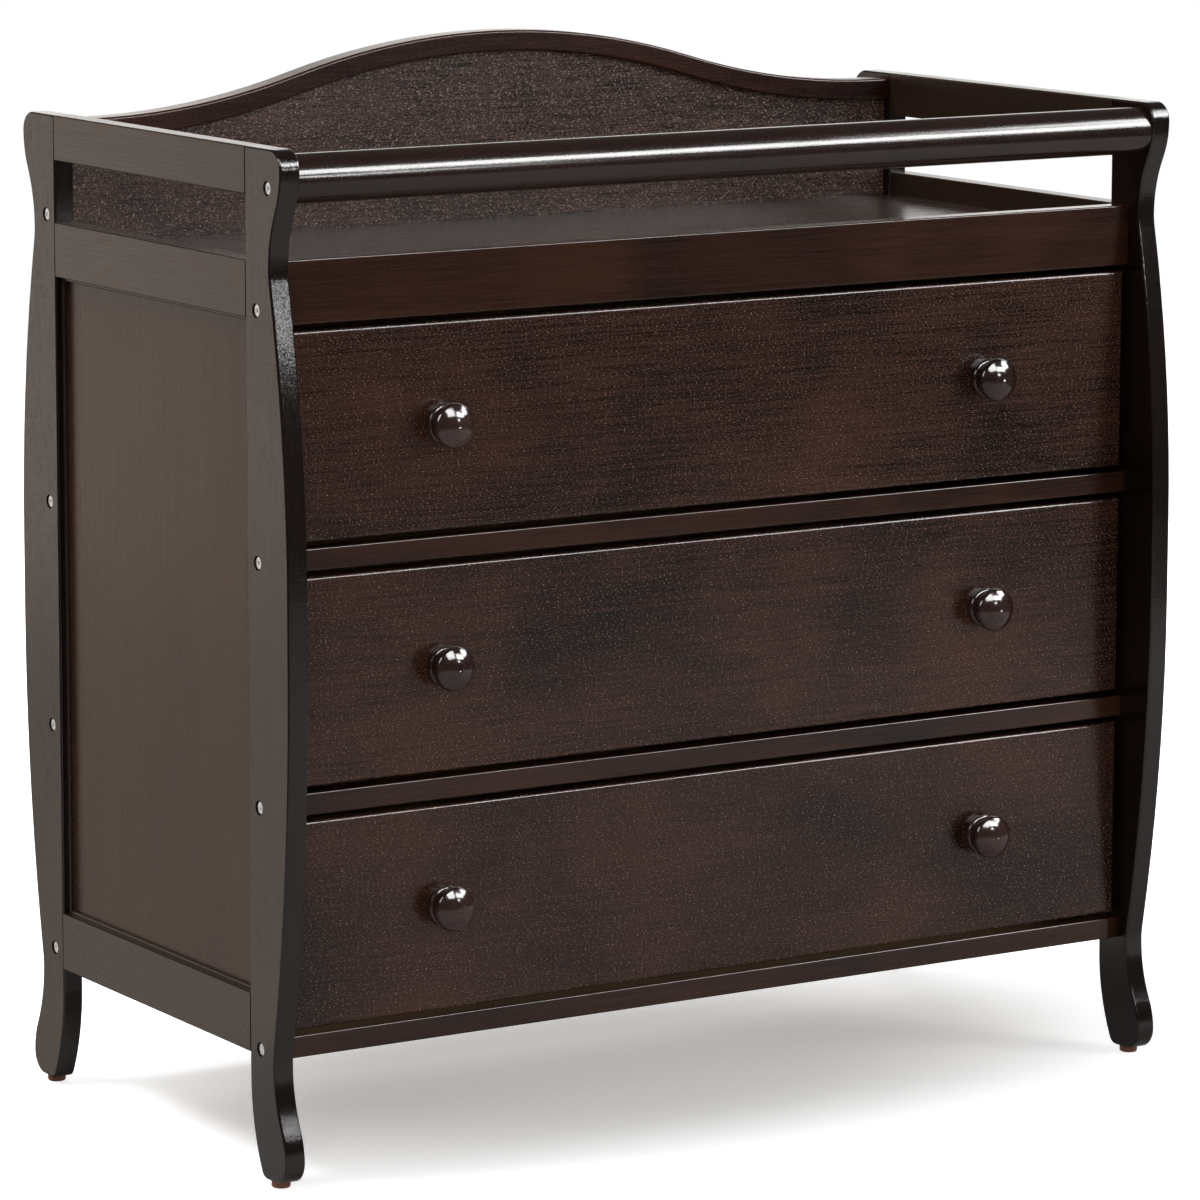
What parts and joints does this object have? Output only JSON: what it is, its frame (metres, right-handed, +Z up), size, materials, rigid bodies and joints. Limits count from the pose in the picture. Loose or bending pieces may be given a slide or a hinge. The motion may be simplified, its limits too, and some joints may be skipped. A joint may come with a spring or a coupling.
{
  "type": "changing dresser",
  "caption": "Dresser with inset drawers on roller slides, a railed changing tray on top with an arched back, and sleigh-shaped end frames on curved feet.",
  "frame": {"origin": "on the floor, midway between the two ends and midway between the front and rear posts", "axes": "+Z up; -Y is the front, towards which the drawers open; +X runs to the right as seen from the front"},
  "size_m": [0.96, 0.511, 0.982],
  "materials": {
    "espresso_wood": "satin dark brown stain, fine grain along the board",
    "gloss_espresso": "glossy near-black brown lacquer",
    "red_brown_veneer": "satin red-brown stain, strong level grain",
    "panel_veneer": "satin grey-brown, faint upright grain",
    "plain_board": "matt brown board",
    "drawer_board": "plain board with light clear coat",
    "bright_steel": "bright plated",
    "plain_steel": "zinc plated",
    "slide_enamel": "brown enamel",
    "roller_nylon": "white nylon",
    "glide_plastic": "red-brown plastic"
  },
  "bodies": {
    "cabinet": {"barrel_nuts": "plain_steel", "crest_rail": "red_brown_veneer", "frame_bolts": "bright_steel", "front_bottom_rail": "espresso_wood", "glides": "glide_plastic", "guard_rail": "gloss_espresso", "left_bottom_rail": "espresso_wood", "left_end_panel": "panel_veneer", "left_front_post": "gloss_espresso", "left_panel_bead": "espresso_wood", "left_rear_post": "gloss_espresso", "left_top_rail": "espresso_wood", "left_tray_rail": "espresso_wood", "lower_back_panel": "plain_board", "lower_divider_rail": "espresso_wood", "lower_rear_stretcher": "plain_board", "middle_rear_stretcher": "plain_board", "right_bottom_rail": "espresso_wood", "right_end_panel": "panel_veneer", "right_front_post": "gloss_espresso", "right_panel_bead": "espresso_wood", "right_rear_post": "gloss_espresso", "right_top_rail": "espresso_wood", "right_tray_rail": "espresso_wood", "slide_channels": "slide_enamel", "tray_floor": "espresso_wood", "tray_front_rail": "espresso_wood", "upper_back_panel": "red_brown_veneer", "upper_divider_rail": "espresso_wood", "upper_rear_stretcher": "plain_board"},
    "top_drawer": {"top_drawer_back": "drawer_board", "top_drawer_bottom": "drawer_board", "top_drawer_front": "espresso_wood", "top_drawer_knob_screws": "plain_steel", "top_drawer_knobs": "gloss_espresso", "top_drawer_left_side": "drawer_board", "top_drawer_right_side": "drawer_board", "top_drawer_slides": "slide_enamel"},
    "top_rear_rollers": {"top_drawer_rollers": "roller_nylon"},
    "top_front_rollers": {"top_drawer_fixed_rollers": "roller_nylon"},
    "middle_drawer": {"middle_drawer_back": "drawer_board", "middle_drawer_bottom": "drawer_board", "middle_drawer_front": "espresso_wood", "middle_drawer_knob_screws": "plain_steel", "middle_drawer_knobs": "gloss_espresso", "middle_drawer_left_side": "drawer_board", "middle_drawer_right_side": "drawer_board", "middle_drawer_slides": "slide_enamel"},
    "middle_rear_rollers": {"middle_drawer_rollers": "roller_nylon"},
    "middle_front_rollers": {"middle_drawer_fixed_rollers": "roller_nylon"},
    "bottom_drawer": {"bottom_drawer_back": "drawer_board", "bottom_drawer_bottom": "drawer_board", "bottom_drawer_front": "espresso_wood", "bottom_drawer_knob_screws": "plain_steel", "bottom_drawer_knobs": "gloss_espresso", "bottom_drawer_left_side": "drawer_board", "bottom_drawer_right_side": "drawer_board", "bottom_drawer_slides": "slide_enamel"},
    "bottom_rear_rollers": {"bottom_drawer_rollers": "roller_nylon"},
    "bottom_front_rollers": {"bottom_drawer_fixed_rollers": "roller_nylon"}
  },
  "joints": [
    {"name": "top_drawer_slide", "type": "slide", "parent": "cabinet", "child": "top_drawer", "axis": [0, -1, 0], "range_m": [0, 0.26]},
    {"name": "top_rear_rollers_turn", "type": "hinge", "parent": "top_drawer", "child": "top_rear_rollers", "pos_m": [0, 0.148, 0.6025], "axis": [1, 0, 0], "range_deg": [-5, 1760]},
    {"name": "top_front_rollers_turn", "type": "hinge", "parent": "cabinet", "child": "top_front_rollers", "pos_m": [0, -0.17, 0.597], "axis": [1, 0, 0], "range_deg": [-5, 1760]},
    {"name": "middle_drawer_slide", "type": "slide", "parent": "cabinet", "child": "middle_drawer", "axis": [0, -1, 0], "range_m": [0, 0.26]},
    {"name": "middle_rear_rollers_turn", "type": "hinge", "parent": "middle_drawer", "child": "middle_rear_rollers", "pos_m": [0, 0.148, 0.3845], "axis": [1, 0, 0], "range_deg": [-5, 1760]},
    {"name": "middle_front_rollers_turn", "type": "hinge", "parent": "cabinet", "child": "middle_front_rollers", "pos_m": [0, -0.17, 0.379], "axis": [1, 0, 0], "range_deg": [-5, 1760]},
    {"name": "bottom_drawer_slide", "type": "slide", "parent": "cabinet", "child": "bottom_drawer", "axis": [0, -1, 0], "range_m": [0, 0.26]},
    {"name": "bottom_rear_rollers_turn", "type": "hinge", "parent": "bottom_drawer", "child": "bottom_rear_rollers", "pos_m": [0, 0.148, 0.1665], "axis": [1, 0, 0], "range_deg": [-5, 1760]},
    {"name": "bottom_front_rollers_turn", "type": "hinge", "parent": "cabinet", "child": "bottom_front_rollers", "pos_m": [0, -0.17, 0.161], "axis": [1, 0, 0], "range_deg": [-5, 1760]}
  ],
  "couplings": [
    {"joint": "top_rear_rollers_turn", "follows": "top_drawer_slide", "rad_per_m": 114.94},
    {"joint": "top_front_rollers_turn", "follows": "top_drawer_slide", "rad_per_m": 114.94},
    {"joint": "middle_rear_rollers_turn", "follows": "middle_drawer_slide", "rad_per_m": 114.94},
    {"joint": "middle_front_rollers_turn", "follows": "middle_drawer_slide", "rad_per_m": 114.94},
    {"joint": "bottom_rear_rollers_turn", "follows": "bottom_drawer_slide", "rad_per_m": 114.94},
    {"joint": "bottom_front_rollers_turn", "follows": "bottom_drawer_slide", "rad_per_m": 114.94}
  ]
}
